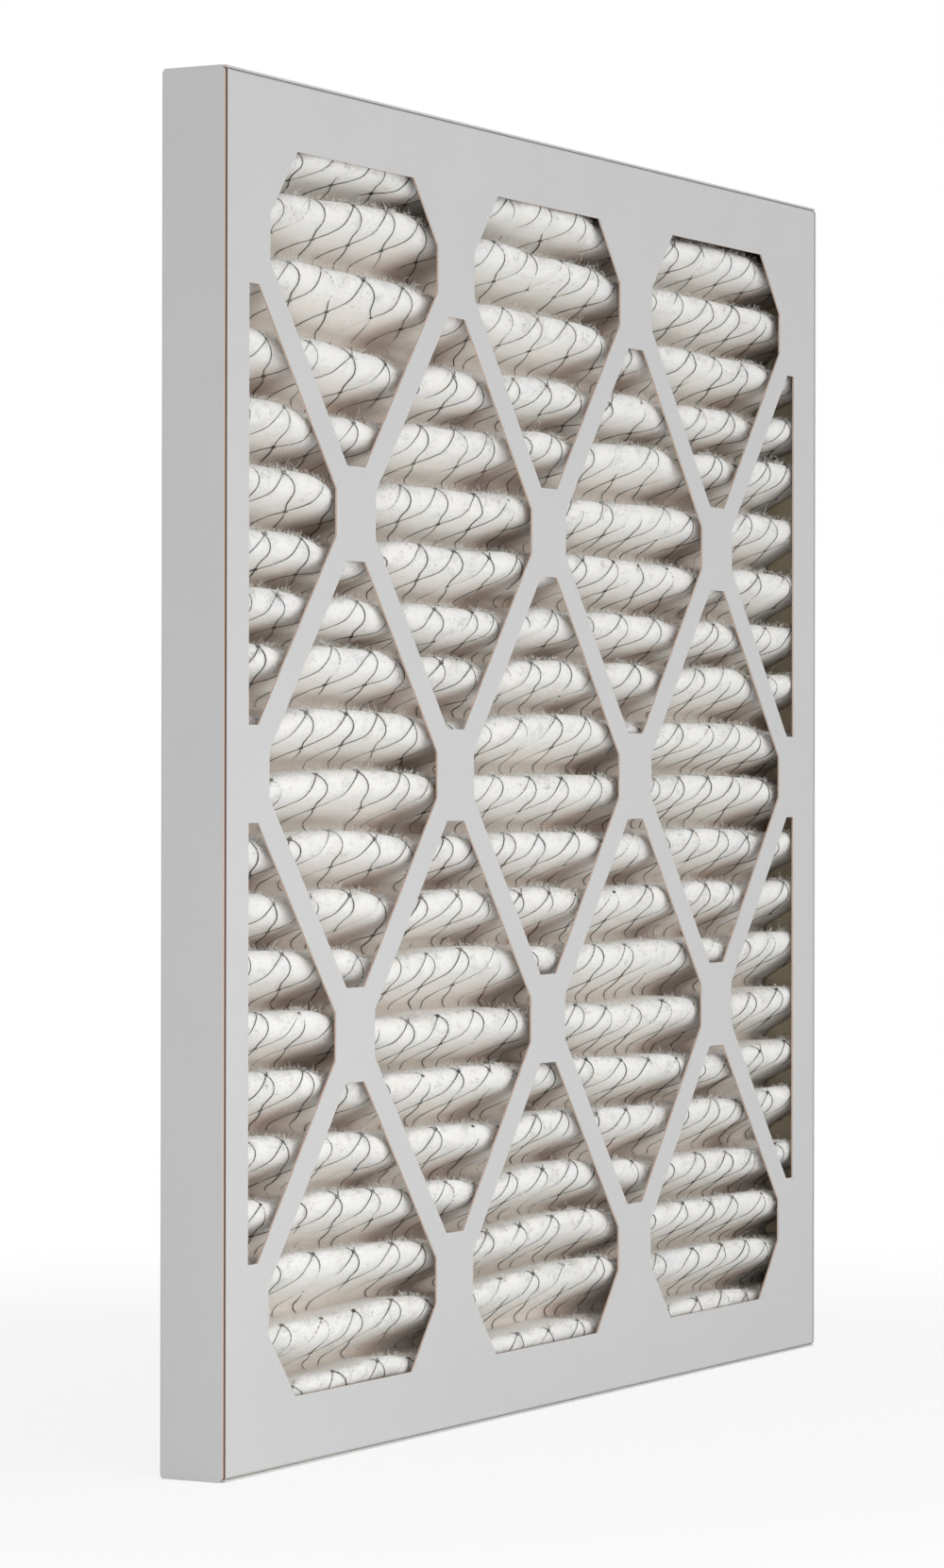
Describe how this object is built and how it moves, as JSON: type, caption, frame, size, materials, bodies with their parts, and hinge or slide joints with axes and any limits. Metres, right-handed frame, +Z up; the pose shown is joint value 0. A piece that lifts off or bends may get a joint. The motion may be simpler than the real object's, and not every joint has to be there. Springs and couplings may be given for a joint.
{
  "type": "pleated panel air filter",
  "caption": "Square pleated panel air filter: folded board trays with a diamond lattice of windows round a pleated fibre sheet with an expanded metal backing.",
  "frame": {"origin": "middle of the bottom edge, on the surface that the filter stands on, halfway through its depth", "axes": "+Z up, +X to the right along the pleats as seen from the front, -Y out of the front face, which is the side with the metal net"},
  "size_m": [0.495, 0.026, 0.495],
  "materials": {
    "paperboard": "grey coated face over kraft pulp, matt",
    "media": "white non-woven synthetic fibre, fluffy",
    "expanded_metal": "thin galvanised expanded metal",
    "adhesive": "set hot-melt adhesive"
  },
  "bodies": {
    "root": {"front_frame": "paperboard", "rear_frame": "paperboard", "pleated_media": "media", "wire_backing": "expanded_metal", "end_seal_left": "adhesive", "end_seal_right": "adhesive", "media_bond_top": "adhesive", "media_bond_bottom": "adhesive", "flap_glue_left": "adhesive", "flap_glue_right": "adhesive", "flap_glue_top": "adhesive", "flap_glue_bottom": "adhesive"}
  },
  "joints": []
}
